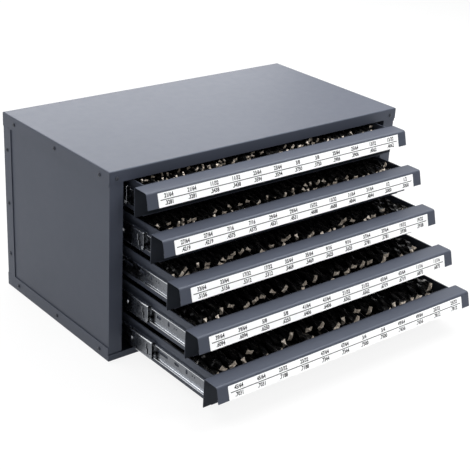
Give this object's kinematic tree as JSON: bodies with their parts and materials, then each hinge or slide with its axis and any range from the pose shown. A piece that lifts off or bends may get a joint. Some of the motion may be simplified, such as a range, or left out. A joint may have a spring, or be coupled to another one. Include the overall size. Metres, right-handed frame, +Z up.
{
  "type": "drill bit drawer case",
  "caption": "Folded steel case with shallow full-extension drawers for drill bits, each with a hooded front, a sloping label face and a row of compartments.",
  "frame": {"origin": "the centre of the case's underside, on the surface that it stands on", "axes": "+X to the right as seen from the front, +Y to the back, +Z up; drawers open along -Y"},
  "size_m": [0.6642, 0.6209, 0.352],
  "materials": {
    "case_paint": "smooth semi-gloss enamel, dark slate",
    "inner_paint": "plain dark coat",
    "screw_black": "black, satin",
    "zinc": "bright zinc plate",
    "ball_steel": "polished balls in pressed steel cages",
    "label_film": "white printed film",
    "black_oxide": "black oxide, oiled"
  },
  "bodies": {
    "case": {"top_cover": "case_paint", "base_tray": "case_paint", "left_side_panel": "case_paint", "right_side_panel": "case_paint", "rear_panel": "case_paint", "left_slide_posts": "inner_paint", "right_slide_posts": "inner_paint", "cover_screws": "screw_black", "base_screws": "screw_black", "rear_screws": "screw_black", "slide_outer_1": "zinc", "slide_outer_2": "zinc", "slide_outer_3": "zinc", "slide_outer_4": "zinc", "slide_outer_5": "zinc"},
    "middle_members_1": {"slide_mid_1": "zinc", "ball_cages_1": "ball_steel"},
    "drawer_1": {"tray_1": "case_paint", "drawer_front_1": "case_paint", "slide_inner_1": "zinc", "dividers_1": "inner_paint", "label_1": "label_film", "drill_bits_1": "black_oxide"},
    "middle_members_2": {"slide_mid_2": "zinc", "ball_cages_2": "ball_steel"},
    "drawer_2": {"tray_2": "case_paint", "drawer_front_2": "case_paint", "slide_inner_2": "zinc", "dividers_2": "inner_paint", "label_2": "label_film", "drill_bits_2": "black_oxide"},
    "middle_members_3": {"slide_mid_3": "zinc", "ball_cages_3": "ball_steel"},
    "drawer_3": {"tray_3": "case_paint", "drawer_front_3": "case_paint", "slide_inner_3": "zinc", "dividers_3": "inner_paint", "label_3": "label_film", "drill_bits_3": "black_oxide"},
    "middle_members_4": {"slide_mid_4": "zinc", "ball_cages_4": "ball_steel"},
    "drawer_4": {"tray_4": "case_paint", "drawer_front_4": "case_paint", "slide_inner_4": "zinc", "dividers_4": "inner_paint", "label_4": "label_film", "drill_bits_4": "black_oxide"},
    "middle_members_5": {"slide_mid_5": "zinc", "ball_cages_5": "ball_steel"},
    "drawer_5": {"tray_5": "case_paint", "drawer_front_5": "case_paint", "slide_inner_5": "zinc", "dividers_5": "inner_paint", "label_5": "label_film", "drill_bits_5": "black_oxide"}
  },
  "joints": [
    {"name": "case_to_middle_members_1", "type": "slide", "parent": "case", "child": "middle_members_1", "axis": [0, -1, 0], "range_m": [-0.03, 0.12]},
    {"name": "middle_members_to_drawer_1", "type": "slide", "parent": "middle_members_1", "child": "drawer_1", "axis": [0, -1, 0], "range_m": [-0.0279, 0.1221]},
    {"name": "case_to_middle_members_2", "type": "slide", "parent": "case", "child": "middle_members_2", "axis": [0, -1, 0], "range_m": [-0.08085, 0.06915]},
    {"name": "middle_members_to_drawer_2", "type": "slide", "parent": "middle_members_2", "child": "drawer_2", "axis": [0, -1, 0], "range_m": [-0.02535, 0.12465]},
    {"name": "case_to_middle_members_3", "type": "slide", "parent": "case", "child": "middle_members_3", "axis": [0, -1, 0], "range_m": [-0.01005, 0.13995]},
    {"name": "middle_members_to_drawer_3", "type": "slide", "parent": "middle_members_3", "child": "drawer_3", "axis": [0, -1, 0], "range_m": [-0.14385, 0.00615]},
    {"name": "case_to_middle_members_4", "type": "slide", "parent": "case", "child": "middle_members_4", "axis": [0, -1, 0], "range_m": [-0.0972, 0.0528]},
    {"name": "middle_members_to_drawer_4", "type": "slide", "parent": "middle_members_4", "child": "drawer_4", "axis": [0, -1, 0], "range_m": [-0.1089, 0.0411]},
    {"name": "case_to_middle_members_5", "type": "slide", "parent": "case", "child": "middle_members_5", "axis": [0, -1, 0], "range_m": [-0.111, 0.039]},
    {"name": "middle_members_to_drawer_5", "type": "slide", "parent": "middle_members_5", "child": "drawer_5", "axis": [0, -1, 0], "range_m": [-0.1482, 0.0018]}
  ]
}
